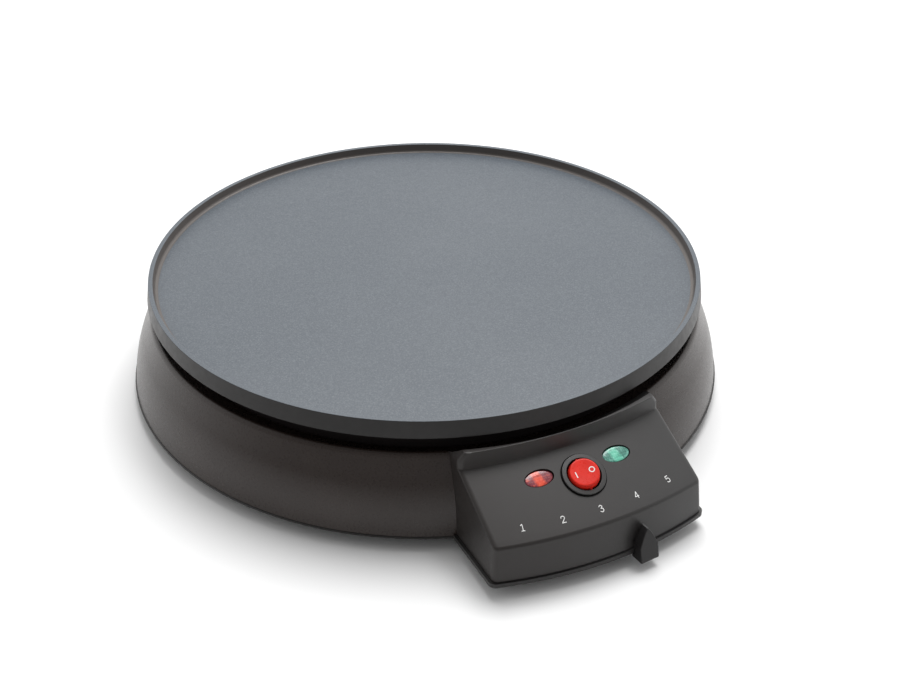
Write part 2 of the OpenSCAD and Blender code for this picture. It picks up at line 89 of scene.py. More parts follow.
class Graph:
    """A small wrapper that makes node trees readable."""

    def __init__(self, name):
        self.mat = bpy.data.materials.new(name)
        self.mat.use_nodes = True
        self.t = self.mat.node_tree
        self.t.nodes.clear()
        self.out = self.t.nodes.new("ShaderNodeOutputMaterial")
        self.bsdf = self.t.nodes.new("ShaderNodeBsdfPrincipled")
        self.link(self.bsdf.outputs[0], self.out.inputs["Surface"])
        self.coord = self.t.nodes.new("ShaderNodeTexCoord").outputs["Object"]

    def link(self, a, b):
        self.t.links.new(a, b)

    def put(self, socket, value):
        if isinstance(value, bpy.types.NodeSocket):
            self.link(value, socket)
        elif value is not None:
            socket.default_value = value

    def node(self, kind, ins=None, **props):
        n = self.t.nodes.new(kind)
        for k, v in props.items():
            setattr(n, k, v)
        for k, v in (ins or {}).items():
            self.put(n.inputs[k], v)
        return n

    def noise(self, scale, detail=2.0, rough=0.5, vector=None, seed=0.0, distortion=0.0):
        v = vector or self.coord
        if seed:
            v = self.node("ShaderNodeVectorMath", {0: v, 1: (seed, seed * 1.7, seed * 0.6)}, operation="ADD").outputs[0]
        return self.node("ShaderNodeTexNoise", {"Vector": v, "Scale": scale, "Detail": detail, "Roughness": rough, "Distortion": distortion}).outputs[0]

    def cells(self, scale, vector=None, feature="F1", randomness=1.0):
        return self.node("ShaderNodeTexVoronoi", {"Vector": vector or self.coord, "Scale": scale, "Randomness": randomness}, feature=feature).outputs["Distance"]

    def maths(self, op, a, b=None, c=None):
        ins = {0: a}
        if b is not None:
            ins[1] = b
        if c is not None:
            ins[2] = c
        return self.node("ShaderNodeMath", ins, operation=op).outputs[0]

    def spread(self, value, lo, hi, to_lo, to_hi, smooth=False):
        return self.node("ShaderNodeMapRange", {"Value": value, "From Min": lo, "From Max": hi, "To Min": to_lo, "To Max": to_hi},
                         interpolation_type="SMOOTHSTEP" if smooth else "LINEAR").outputs[0]

    def mix(self, fac, a, b, kind="MIX"):
        n = self.t.nodes.new("ShaderNodeMix")
        n.data_type = "RGBA"
        n.blend_type = kind
        self.put(n.inputs[0], fac)
        self.put(n.inputs[6], rgba(a))
        self.put(n.inputs[7], rgba(b))
        return n.outputs[2]

    def split(self, vector=None):
        n = self.node("ShaderNodeSeparateXYZ", {0: vector or self.coord})
        return n.outputs[0], n.outputs[1], n.outputs[2]

    def bump(self, height, distance, strength=1.0, normal=None):
        ins = {"Height": height, "Distance": distance, "Strength": strength}
        if normal is not None:
            ins["Normal"] = normal
        return self.node("ShaderNodeBump", ins).outputs[0]

    def finish(self, **sockets):
        for k, v in sockets.items():
            self.put(self.bsdf.inputs[k.replace("_", " ")], rgba(v) if isinstance(v, tuple) and len(v) == 3 else v)
        return self.mat


def rgba(c):
    return (c[0], c[1], c[2], 1.0) if isinstance(c, tuple) and len(c) == 3 else c


# ---------------------------------------------------------------- mesh helpers

def fillet(points, steps=6):
    """A closed or open polyline of (x, y, radius) corners turned into points, each corner rounded by its radius."""
    out = []
    n = len(points)
    for i, p in enumerate(points):
        r = p[2] if len(p) > 2 else 0.0
        a, b, c = Vector(points[i - 1][:2]), Vector(p[:2]), Vector(points[(i + 1) % n][:2])
        u, v = a - b, c - b
        if r <= 0 or u.length < 1e-6 or v.length < 1e-6:
            out.append((b.x, b.y))
            continue
        u.normalize(), v.normalize()
        half = math.acos(max(-1, min(1, u.dot(v)))) / 2
        if half > math.pi / 2 - 1e-3:
            out.append((b.x, b.y))
            continue
        t = r / math.tan(half)
        s, e = b + u * t, b + v * t
        m = b + (u + v).normalized() * (r / math.sin(half))
        a0 = math.atan2(s.y - m.y, s.x - m.x)
        a1 = math.atan2(e.y - m.y, e.x - m.x)
        d = (a1 - a0 + math.pi) % (2 * math.pi) - math.pi
        k = max(2, int(math.ceil(abs(d) / (math.pi / 2) * steps)))
        out += [(m.x + r * math.cos(a0 + d * j / k), m.y + r * math.sin(a0 + d * j / k)) for j in range(k + 1)]
    return out


def new_object(name, verts, faces, matrix=None, raw=False):
    """A mesh object from points in millimetres about the plate's axis."""
    me = bpy.data.meshes.new(name)
    if matrix is not None:
        verts = [matrix @ Vector(v) for v in verts]
    me.from_pydata([tuple(v) if raw else to_m(v) for v in verts], [], faces)
    me.validate()
    ob = bpy.data.objects.new(name, me)
    bpy.context.scene.collection.objects.link(ob)
    tidy(ob)
    return ob


def tidy(ob):
    bm = bmesh.new()
    bm.from_mesh(ob.data)
    bmesh.ops.remove_doubles(bm, verts=bm.verts, dist=1e-7)
    bmesh.ops.recalc_face_normals(bm, faces=bm.faces)
    bm.to_mesh(ob.data)
    bm.free()


def lathe(name, profile, seg=288, matrix=None):
    """A solid of revolution of a closed (radius, z) outline about the z axis."""
    verts, faces, rings = [], [], []
    for r, z in profile:
        if r < 1e-6:
            rings.append([len(verts)])
            verts.append((0, 0, z))
        else:
            rings.append(list(range(len(verts), len(verts) + seg)))
            verts += [(r * math.sin(2 * math.pi * k / seg), -r * math.cos(2 * math.pi * k / seg), z) for k in range(seg)]
    n = len(profile)
    for i in range(n):
        a, b = rings[i], rings[(i + 1) % n]
        if len(a) == 1 and len(b) == 1:
            continue
        for k in range(seg):
            q = [a[k % len(a)], a[(k + 1) % len(a)], b[(k + 1) % len(b)], b[k % len(b)]]
            f = list(dict.fromkeys(q))
            if len(f) > 2:
                faces.append(f)
    return new_object(name, verts, faces, matrix)


def loft(name, sections, matrix=None):
    """A solid through a stack of outlines that all have the same number of points."""
    n = len(sections[0])
    verts = [p for s in sections for p in s]
    faces = [[(i * n + j), (i * n + (j + 1) % n), ((i + 1) * n + (j + 1) % n), ((i + 1) * n + j)] for i in range(len(sections) - 1) for j in range(n)]
    faces.append(list(range(n))[::-1])
    faces.append([(len(sections) - 1) * n + j for j in range(n)])
    return new_object(name, verts, faces, matrix)


def cylinder(name, r, z0, z1, seg=64, matrix=None, chamfer=0.0):
    if chamfer:
        prof = [(0, z0), (r - chamfer, z0), (r, z0 + chamfer), (r, z1 - chamfer), (r - chamfer, z1), (0, z1)]
    else:
        prof = [(0, z0), (r, z0), (r, z1), (0, z1)]
    return lathe(name, prof, seg, matrix)


def block(name, lo, hi, matrix=None):
    v = [(x, y, z) for z in (lo[2], hi[2]) for y in (lo[1], hi[1]) for x in (lo[0], hi[0])]
    f = [[0, 2, 3, 1], [4, 5, 7, 6], [0, 1, 5, 4], [2, 6, 7, 3], [0, 4, 6, 2], [1, 3, 7, 5]]
    return new_object(name, v, f, matrix)


def drop(ob):
    me = ob.data
    bpy.data.objects.remove(ob)
    bpy.data.meshes.remove(me)


def combine(ob, others, kind):
    """Boolean of ob with each of the others, which are used up."""
    for o in others:
        m = ob.modifiers.new("cut", "BOOLEAN")
        m.operation, m.object, m.solver = kind, o, "EXACT"
        dg = bpy.context.evaluated_depsgraph_get()
        me = bpy.data.meshes.new_from_object(ob.evaluated_get(dg))
        ob.modifiers.clear()
        old, ob.data = ob.data, me
        me.name = ob.name
        bpy.data.meshes.remove(old)
        drop(o)
    return ob


def join(name, parts):
    """Several separate closed meshes as one object."""
    bm = bmesh.new()
    for p in parts:
        bm.from_mesh(p.data)
    me = bpy.data.meshes.new(name)
    bm.to_mesh(me)
    bm.free()
    for p in parts:
        drop(p)
    ob = bpy.data.objects.new(name, me)
    bpy.context.scene.collection.objects.link(ob)
    return ob


def shade(ob, angle=32, weighted=True):
    ob.data.shade_smooth()
    ob.data.set_sharp_from_angle(angle=math.radians(angle))
    if weighted:
        m = ob.modifiers.new("normals", "WEIGHTED_NORMAL")
        m.keep_sharp = True
        m.weight = 80
    return ob


def dress(ob, *mats):
    ob.data.materials.clear()
    for m in mats:
        ob.data.materials.append(m)
    return ob


def stand_in(ob, body, slot, *nodes):
    """ob takes the place of these nodes of the frame, on that body. The slot argument is not used."""
    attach(ob, body)
    if nodes:
        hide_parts(*nodes)
    return ob


def curve_points(points, per=8):
    """A smooth curve through the points (Catmull-Rom)."""
    out = []
    n = len(points)
    for i in range(n - 1):
        p0, p1, p2, p3 = (Vector(points[max(i - 1, 0)]), Vector(points[i]), Vector(points[i + 1]), Vector(points[min(i + 2, n - 1)]))
        for k in range(per):
            t = k / per
            out.append(0.5 * (2 * p1 + (p2 - p0) * t + (2 * p0 - 5 * p1 + 4 * p2 - p3) * t * t + (-p0 + 3 * p1 - 3 * p2 + p3) * t ** 3))
    out.append(Vector(points[-1]))
    return out


def lerp(table, x):
    """Linear interpolation in a table of (x, value) rows."""
    if x <= table[0][0]:
        return table[0][1]
    for (a, u), (b, v) in zip(table, table[1:]):
        if x <= b:
            return u + (v - u) * (x - a) / (b - a)
    return table[-1][1]


# ---------------------------------------------------------------- dimensions shared with the frame

BASE_OUT = [(168.5, 7.9), (167.7, 14), (166.4, 20.5), (164.7, 26.5), (162.6, 32.4), (160.3, 37.7), (158.5, 42), (157.1, 45.4)]
BASE_TOP = [(156.4, 47.1), (155.7, 48.3), (154.9, 48.95), (154, 49.15)]
SLOPE = math.atan2(46.1 - 27.7, 201.5 - 162.3)
SHELL_BOSS_AZ = [62, 118, 162, 198, 242, 298]


def panel_z(a, b=0.0):
    """Height of the sloping panel at distance a in front of the axis and b to the side."""
    edge = 162.3 - 239 + math.sqrt(239 * 239 - b * b)
    return 46.1 - (a - edge) * math.tan(SLOPE)


def panel_frame(x, a, z, turn=0.0):
    return (Matrix.Translation((x, -a, z)) @ Matrix.Rotation(math.radians(turn), 4, "Z") @ Matrix.Rotation(SLOPE, 4, "X"))


SWITCH = panel_frame(0, 177.5, 46.1 - (177.5 - 162.3) * math.tan(SLOPE))
LENS = {s: panel_frame(s * 21.6, 172.2, panel_z(172.2, 21.6)) for s in (-1, 1)}
LEVER = Matrix.Rotation(math.radians(5.1), 4, "Z")


def outline(w, front, rr, c, back=120, n=44, m=9):
    """Plan outline of the housing at one height: a front arc, two rounded corners, straight sides."""
    a0 = front - rr
    ac = a0 + math.sqrt((rr - c) ** 2 - (w - c) ** 2)
    th = math.atan2(w - c, ac - a0)
    pts = [(w, -back)]
    for i in range(m + 1):
        f = math.pi / 2 - (math.pi / 2 - th) * i / m
        pts.append((w - c + c * math.sin(f), -(ac + c * math.cos(f))))
    for i in range(1, n):
        f = th - 2 * th * i / n
        pts.append((rr * math.sin(f), -(a0 + rr * math.cos(f))))
    for i in range(m + 1):
        f = -th - (math.pi / 2 - th) * i / m
        pts.append((-(w - c) + c * math.sin(f), -(ac + c * math.cos(f))))
    pts.append((-w, -back))
    return pts


def lens_shape(w, d, n=96):
    """The oval outline of a lamp lens."""
    return [(w / 2 * math.cos(2 * math.pi * i / n), d / 2 * math.sin(2 * math.pi * i / n)) for i in range(n)]


# ---------------------------------------------------------------- materials

def mat_nonstick():
    """Grey-blue non-stick coating: a fine pebbled spray texture, light flecks and a faint cloudiness, with painted
    shade on the inside wall of the rim.
    """
    g = Graph("nonstick_plate")
    fleck = g.noise(1500, 3, 0.62)
    cloud = g.noise(9.0, 4, 0.55, seed=3.1)
    haze = g.noise(38.0, 5, 0.6, seed=1.3)
    x, y, z = g.split()
    tone = g.mix(g.spread(cloud, 0.35, 0.68, 0, 1, True), (0.070, 0.084, 0.101), (0.081, 0.095, 0.112))
    tone = g.mix(g.spread(haze, 0.38, 0.66, 0, 0.35, True), tone, (0.076, 0.092, 0.107))
    tone = g.mix(g.spread(fleck, 0.46, 0.72, 0, 0.55, True), tone, (0.170, 0.19, 0.208))
    tone = g.mix(g.spread(fleck, 0.28, 0.46, 0.5, 0, True), tone, (0.040, 0.046, 0.056))
    # painted shade: the inside wall of the rim is given a darker, warmer tone than the floor and the land on top of the
    # rim, standing in for the shade on that wall
    away = g.maths("SQRT", g.maths("ADD", g.maths("POWER", x, 2.0), g.maths("POWER", g.maths("SUBTRACT", y, AXIS_Y * MM), 2.0)))
    wall = g.maths("MULTIPLY", g.spread(away, 0.14975, 0.15015, 0, 1, True), g.spread(z, 0.06772, 0.06794, 1, 0, True))
    tone = g.mix(wall, tone, (0.090, 0.078, 0.071))
    rough = g.spread(g.noise(220, 3, 0.6, seed=5.0), 0.3, 0.7, 0.36, 0.46)
    n = g.bump(fleck, 0.00012, 0.55)
    n = g.bump(g.noise(520, 2, 0.5, seed=9.0), 0.00010, 0.35, n)
    return g.finish(Base_Color=tone, Roughness=rough, Normal=n)


def mat_enamel():
    """Black heat-proof enamel on the outside of the plate."""
    g = Graph("rim_enamel")
    peel = g.noise(420, 2, 0.5)
    tone = g.mix(g.spread(g.noise(60, 4, 0.6, seed=2.0), 0.35, 0.65, 0, 1, True), (0.0080, 0.0068, 0.0064), (0.0110, 0.0094, 0.0090))
    rough = g.spread(g.noise(300, 3, 0.6, seed=7.0), 0.3, 0.7, 0.34, 0.44)
    return g.finish(Base_Color=tone, Roughness=rough, Normal=g.bump(peel, 0.00006, 0.4), Specular_IOR_Level=0.36)


def mat_plastic(name, a, b, rough_lo, rough_hi, grain=2600, depth=0.00005, strength=0.35, shine=0.5):
    """Moulded plastic with a fine spark-eroded grain."""
    g = Graph(name)
    tone = g.mix(g.spread(g.noise(24, 4, 0.55, seed=4.0), 0.36, 0.66, 0, 1, True), a, b)
    fine = g.noise(grain, 2, 0.55)
    rough = g.spread(g.noise(700, 3, 0.6, seed=6.0), 0.3, 0.7, rough_lo, rough_hi)
    n = g.bump(fine, depth, strength)
    return g.finish(Base_Color=tone, Roughness=rough, Normal=n, Specular_IOR_Level=shine)


def mat_housing():
    """The housing's moulding: the same grain, with painted light: darker and browner towards -x, lighter towards +x,
    where more light falls.
    """
    g = Graph("housing_plastic")
    x, y, z = g.split()
    # painted light: the tone runs from dark at -x to lighter at +x, standing in for the brighter light on that side
    along = g.spread(x, -0.058, 0.052, 0, 1)
    tone = g.mix(along, (0.0180, 0.0138, 0.0124), (0.0400, 0.0390, 0.0388))
    tone = g.mix(g.spread(g.noise(24, 4, 0.55, seed=4.0), 0.36, 0.66, 0, 0.35, True), tone, (0.0260, 0.0240, 0.0230))
    rough = g.spread(g.noise(700, 3, 0.6, seed=6.0), 0.3, 0.7, 0.36, 0.44)
    return g.finish(Base_Color=tone, Roughness=rough, Normal=g.bump(g.noise(2600, 2, 0.55), 0.00005, 0.35),
                    Specular_IOR_Level=0.42)


def mat_metal(name, a, b, rough_lo, rough_hi, scale=300, stretch=(1, 1, 1), bump=0.00003):
    g = Graph(name)
    v = g.node("ShaderNodeMapping", {"Vector": g.coord, "Scale": stretch}).outputs[0]
    grain = g.noise(scale, 4, 0.6, vector=v)
    tone = g.mix(g.spread(grain, 0.3, 0.7, 0, 1), a, b)
    rough = g.spread(g.noise(scale * 1.7, 3, 0.6, vector=v, seed=2.0), 0.3, 0.7, rough_lo, rough_hi)
    return g.finish(Base_Color=tone, Roughness=rough, Metallic=1.0, Normal=g.bump(grain, bump, 0.5))


def mat_rocker():
    g = Graph("rocker_red")
    tone = g.mix(g.spread(g.noise(180, 3, 0.5), 0.35, 0.65, 0, 1, True), (0.68, 0.020, 0.010), (0.76, 0.026, 0.014))
    rough = g.spread(g.noise(900, 2, 0.5, seed=3.0), 0.3, 0.7, 0.26, 0.34)
    return g.finish(Base_Color=tone, Roughness=rough, Normal=g.bump(g.noise(1400, 2, 0.5), 0.00003, 0.25),
                    Specular_IOR_Level=0.3)


def mat_gap_shade():
    """Painted shade: a near-black colour for faces where a seam or a gap lies in shadow."""
    g = Graph("gap_shade_black")
    tone = g.mix(g.spread(g.noise(400, 3), 0.35, 0.65, 0, 1), (0.0025, 0.0022, 0.0022), (0.004, 0.0036, 0.0036))
    return g.finish(Base_Color=tone, Roughness=g.spread(g.noise(600, 2), 0.3, 0.7, 0.75, 0.9), Specular_IOR_Level=0.1,
                    Normal=g.bump(g.noise(1500, 2), 0.00003, 0.3))


def mat_reflector():
    """Bright sheet steel; painted shade: the upturned outer rim is coloured a dull near-black, standing in for the
    shade in the gap under the plate.
    """
    g = Graph("reflector_steel")
    x, y, z = g.split()
    away = g.maths("SQRT", g.maths("ADD", g.maths("POWER", x, 2.0), g.maths("POWER", g.maths("SUBTRACT", y, AXIS_Y * MM), 2.0)))
    # painted shade: beyond 140 mm from the axis the steel turns dull near-black, standing in for the shade in the gap
    # under the plate
    black = g.spread(away, 0.1400, 0.1412, 0, 1, True)
    v = g.node("ShaderNodeMapping", {"Vector": g.coord, "Scale": (1, 1, 6)}).outputs[0]
    grain = g.noise(260, 4, 0.6, vector=v)
    tone = g.mix(g.spread(grain, 0.3, 0.7, 0, 1), (0.56, 0.57, 0.58), (0.66, 0.67, 0.68))
    tone = g.mix(black, tone, (0.032, 0.026, 0.026))
    rough = g.spread(g.noise(440, 3, 0.6, seed=2.0), 0.3, 0.7, 0.25, 0.38)
    return g.finish(Base_Color=tone, Roughness=g.maths("MAXIMUM", rough, g.maths("MULTIPLY", black, 0.8)), Metallic=g.maths("SUBTRACT", 1.0, black),
                    Specular_IOR_Level=0.15, Normal=g.bump(grain, 0.00003, 0.5))


def mat_ink():
    g = Graph("mark_white")
    tone = g.mix(g.spread(g.noise(2500, 2, 0.5), 0.35, 0.7, 0, 1, True), (0.84, 0.84, 0.83), (0.74, 0.74, 0.73))
    return g.finish(Base_Color=tone, Roughness=g.spread(g.noise(1800, 2, 0.5, seed=1.0), 0.3, 0.7, 0.45, 0.6),
                    Normal=g.bump(g.noise(2600, 2, 0.5), 0.00002, 0.3))


def mat_lens(name, glow, mid, ends, where):
    """Coloured lamp window: a painted glow over the lamp, darker tips, fine moulded ribs under a glossy face, painted
    light inside, painted shade at the rim and a faint self-glow.
    """
    g = Graph(name)
    inv = where.inverted()
    # local coordinates of the lens, along its length and across it, in millimetres
    m = Matrix.Translation((0, -AXIS_Y, 0))
    loc = inv @ m
    off = g.node("ShaderNodeVectorMath", {0: g.coord, 1: (1000, 1000, 1000)}, operation="MULTIPLY").outputs[0]
    row = [tuple(loc[i][:3]) for i in range(3)]
    u = g.maths("ADD", g.node("ShaderNodeVectorMath", {0: off, 1: row[0]}, operation="DOT_PRODUCT").outputs["Value"], loc[0][3])
    v = g.maths("ADD", g.node("ShaderNodeVectorMath", {0: off, 1: row[1]}, operation="DOT_PRODUCT").outputs["Value"], loc[1][3])
    shift = g.maths("MULTIPLY_ADD", v, 0.25, u)
    # painted light: the middle of the window is brighter, standing in for the lamp's light seen through it
    painted_glow_band = g.spread(g.maths("ABSOLUTE", g.maths("ADD", shift, 0.6)), 1.3, 3.3, 1, 0, True)
    ribs = g.maths("MULTIPLY_ADD", g.maths("SINE", g.maths("MULTIPLY", u, 5.6)), 0.5, 0.5)
    cross = g.maths("MULTIPLY_ADD", g.maths("SINE", g.maths("MULTIPLY", v, 4.4)), 0.5, 0.5)
    grid = g.maths("MULTIPLY", ribs, cross)
    tone = g.mix(painted_glow_band, ends, mid)
    # painted light: uneven light inside the moulding, as lighter and darker patches
    painted_inner_light = g.noise(420, 3, 0.55, seed=8.0)
    tone = g.mix(g.spread(painted_inner_light, 0.50, 0.66, 0, 0.5, True), tone, glow)
    tone = g.mix(g.spread(painted_inner_light, 0.34, 0.48, 0.5, 0, True), tone, (ends[0] * 0.5, ends[1] * 0.5, ends[2] * 0.5))
    tone = g.mix(g.maths("MULTIPLY", grid, 0.16), tone, glow)
    # painted shade: a dark rim where the window meets its frame
    rim_shade_reach = g.maths("ADD", g.maths("POWER", g.maths("DIVIDE", u, 7.4), 2.0), g.maths("POWER", g.maths("DIVIDE", v, 4.1), 2.0))
    tone = g.mix(g.spread(rim_shade_reach, 0.80, 1.0, 0, 0.65, True), tone, (ends[0] * 0.15, ends[1] * 0.15, ends[2] * 0.15))
    n = g.bump(grid, 0.00008, 0.25)
    # painted light: a faint emission of the same colours makes the window glow though no lamp in the scene lights it
    return g.finish(Base_Color=tone, Roughness=g.spread(g.noise(900, 2), 0.3, 0.7, 0.20, 0.30), Normal=n, Coat_Weight=0.25, Coat_Roughness=0.08,
                    Emission_Color=tone, Emission_Strength=0.10)


def mat_rubber():
    g = Graph("foot_rubber")
    tone = g.mix(g.spread(g.noise(120, 4, 0.6), 0.35, 0.65, 0, 1), (0.016, 0.016, 0.016), (0.026, 0.025, 0.025))
    return g.finish(Base_Color=tone, Roughness=g.spread(g.noise(800, 3), 0.3, 0.7, 0.62, 0.8), Normal=g.bump(g.noise(1800, 3), 0.00008, 0.5))


def mat_clear(name, tint):
    g = Graph(name)
    tone = g.mix(g.spread(g.noise(300, 3), 0.35, 0.65, 0, 1), tint, tuple(min(1, c * 1.12) for c in tint))
    return g.finish(Base_Color=tone, Roughness=g.spread(g.noise(700, 2), 0.3, 0.7, 0.06, 0.16), Transmission_Weight=0.7, IOR=1.47,
                    Normal=g.bump(g.noise(900, 2), 0.00003, 0.2))


def mat_ceramic(name, a, b, lo=0.4, hi=0.6):
    g = Graph(name)
    tone = g.mix(g.spread(g.noise(200, 4, 0.6), 0.35, 0.65, 0, 1), a, b)
    return g.finish(Base_Color=tone, Roughness=g.spread(g.noise(600, 3), 0.3, 0.7, lo, hi), Normal=g.bump(g.noise(1100, 3), 0.00006, 0.4))


def mat_floor():
    g = Graph("floor_white")
    tone = g.mix(g.spread(g.noise(6, 3), 0.35, 0.65, 0, 1), (0.90, 0.90, 0.90), (0.915, 0.915, 0.915))
    return g.finish(Base_Color=tone, Roughness=g.spread(g.noise(30, 3), 0.3, 0.7, 0.75, 0.85), Specular_IOR_Level=0.2)


MAT = {
    "nonstick_plate": mat_nonstick(),
    "rim_enamel": mat_enamel(),
    "shell_plastic": mat_plastic("shell_plastic", (0.0250, 0.0168, 0.0138), (0.0300, 0.0208, 0.0172), 0.25, 0.33, shine=0.40),
    "housing_plastic": mat_housing(),
    "cover_plastic": mat_plastic("cover_plastic", (0.012, 0.0108, 0.0105), (0.016, 0.0145, 0.0138), 0.42, 0.52),
    "knob_plastic": mat_plastic("knob_plastic", (0.0075, 0.0066, 0.0068), (0.0100, 0.0090, 0.0092), 0.38, 0.48, shine=0.38),
    "switch_black": mat_plastic("switch_black", (0.021, 0.020, 0.0195), (0.026, 0.0245, 0.024), 0.34, 0.42),
    "gland_black": mat_plastic("gland_black", (0.014, 0.014, 0.014), (0.02, 0.02, 0.02), 0.40, 0.5),
    "rocker_red": mat_rocker(),
    "mark_white": mat_ink(),
    "gap_shade_black": mat_gap_shade(),
    "lens_red": mat_lens("lens_red", (0.85, 0.14, 0.07), (0.68, 0.062, 0.028), (0.20, 0.032, 0.050), LENS[-1]),
    "lens_green": mat_lens("lens_green", (0.36, 0.78, 0.64), (0.12, 0.50, 0.35), (0.05, 0.20, 0.155), LENS[1]),
    "foot_rubber": mat_rubber(),
    "element_sheath": mat_metal("element_sheath", (0.20, 0.19, 0.18), (0.30, 0.27, 0.25), 0.42, 0.6, 500),
    "terminal_brass": mat_metal("terminal_brass", (0.62, 0.45, 0.20), (0.74, 0.56, 0.28), 0.28, 0.42, 400),
    "zinc_steel": mat_metal("zinc_steel", (0.55, 0.56, 0.58), (0.70, 0.70, 0.71), 0.25, 0.4, 350),
    "reflector_steel": mat_reflector(),
    "ceramic_white": mat_ceramic("ceramic_white", (0.70, 0.68, 0.62), (0.80, 0.78, 0.72)),
    "fibre": mat_ceramic("fibre", (0.30, 0.24, 0.17), (0.42, 0.35, 0.26), 0.7, 0.85),
    "holder_white": mat_ceramic("holder_white", (0.74, 0.73, 0.69), (0.82, 0.81, 0.77), 0.35, 0.45),
    "fuse_white": mat_ceramic("fuse_white", (0.76, 0.76, 0.73), (0.85, 0.85, 0.82), 0.3, 0.4),
    "lamp_glass": mat_clear("lamp_glass", (0.86, 0.80, 0.74)),
    "wire_brown": mat_ceramic("wire_brown", (0.20, 0.085, 0.035), (0.25, 0.11, 0.05), 0.35, 0.45),
    "wire_blue": mat_ceramic("wire_blue", (0.03, 0.09, 0.42), (0.045, 0.12, 0.50), 0.35, 0.45),
    "wire_green": mat_ceramic("wire_green", (0.10, 0.36, 0.06), (0.15, 0.45, 0.09), 0.35, 0.45),
}

# ---------------------------------------------------------------- the plate


def make_plate():
    rib = [(100 + 3.56 * math.cos(math.radians(a)), 55.2 + 3.56 * math.sin(math.radians(a))) for a in range(180, -1, -15)]
    prof = fillet([(0, 53.6), (15, 53.6, 0.8), (15, 59.2, 0.5), (93, 59.2, 0.5), (93, 55.2, 0.5)]
                  + [(r, z) for r, z in rib]
                  + [(107, 55.2, 0.5), (107, 59.2, 0.5), (150.2, 59.2, 0.8), (151.6, 58.57, 0.5), (156.4, 58.57, 0.28), (154.98, 68.0, 0.28),
                     (152.5, 68.0, 0.3), (151.7, 63.0, 1.8), (60, 63.0), (0, 63.0)], 7)
    prof = [(max(0.0, r), z) for r, z in prof]
    plate = lathe("griddle_plate", prof, 360)
    bosses = []
    for az in (45, 135, 225, 315):
        m = Matrix.Rotation(math.radians(az), 4, "Z") @ Matrix.Translation((0, -137, 0))
        b = cylinder("boss", 6, 48, 59.6, 48, m, 0.4)
        combine(b, [cylinder("hole", 2.05, 40, 58, 32, m)], "DIFFERENCE")
        bosses.append(b)
    for x in (-35, 35):
        m = Matrix.Translation((x, 0, 0))
        b = cylinder("boss", 6, 54, 59.6, 48, m, 0.4)
        combine(b, [cylinder("hole", 1.65, 50, 58, 32, m)], "DIFFERENCE")
        bosses.append(b)
    combine(plate, bosses, "UNION")
    shade(plate, 40)
    dress(plate, MAT["nonstick_plate"], MAT["rim_enamel"])
    for f in plate.data.polygons:
        c = f.center
        r = math.hypot(c.x, c.y - AXIS_Y * MM) / MM
        if c.z < 0.0599 or (r > 154.2 and c.z < 0.06793):
            f.material_index = 1
    stand_in(plate, "base", "nonstick_plate", "cooking_plate")


# ---------------------------------------------------------------- the base

def base_profile(grow=0.0):
    side = curve_points([(r + grow, z) for r, z in BASE_OUT] + [(BASE_TOP[0][0] + grow, BASE_TOP[0][1])], 4)
    top = curve_points([(r + grow, z) for r, z in BASE_TOP], 4)
    return [(p.x, p.y) for p in side[:-1]] + [(p.x, p.y) for p in top]


def make_base():
    inner = fillet([(153.2, 48.8, 0.3), (152.8, 43.2, 0.6), (131, 43.2, 0.5), (131, 41.0, 0.5), (155.6, 41.0, 1.0)], 4)
    inner += [(157.9, 36.6), (160.2, 31.4), (162.2, 25.8), (163.9, 20), (165.2, 13.6), (165.9, 7.9)]
    shell = lathe("base_ring", base_profile() + inner, 360)
    # screw bosses grow out of the inside of the wall
    keep = lathe("keep", [(0, -5), (167.3, -5), (167.3, 9.0)] + [(r - 0.8, z) for r, z in BASE_OUT[1:]] + [(0, 45.4)], 180)
    posts = []
    for az in SHELL_BOSS_AZ:
        m = Matrix.Rotation(math.radians(az), 4, "Z")
        posts.append(cylinder("post", 4.5, 8.92, 34.92, 40, m @ Matrix.Translation((0, -158, 0))))
        posts.append(block("web", (-1, -166, 12), (1, -160, 32), m))
    post = posts[0]
    combine(post, posts[1:], "UNION")
    combine(post, [keep], "INTERSECT")
    gland = cylinder("gland_boss", 11.5, 155, 167.65, 96, Matrix.Translation((0, 0, 24)) @ Matrix.Rotation(math.radians(-90), 4, "X"), 0.35)
    combine(shell, [post, gland], "UNION")
    cuts = [block("window", (-50, -175, 5), (50, -115, 39.2)),
            cylinder("gland_hole", 7.1, 140, 180, 64, Matrix.Translation((0, 0, 24)) @ Matrix.Rotation(math.radians(-90), 4, "X"))]
    for az in (45, 135, 225, 315):
        cuts.append(cylinder("hole", 2.5, 36, 48, 32, Matrix.Rotation(math.radians(az), 4, "Z") @ Matrix.Translation((0, -137, 0))))
    for az in SHELL_BOSS_AZ:
        cuts.append(cylinder("hole", 1.55, 7, 29, 32, Matrix.Rotation(math.radians(az), 4, "Z") @ Matrix.Translation((0, -158, 0))))
    combine(shell, cuts, "DIFFERENCE")
    shade(shell, 34)
    dress(shell, MAT["shell_plastic"])
    stand_in(shell, "base", "shell_plastic", "base_shell")


# ---------------------------------------------------------------- the control housing

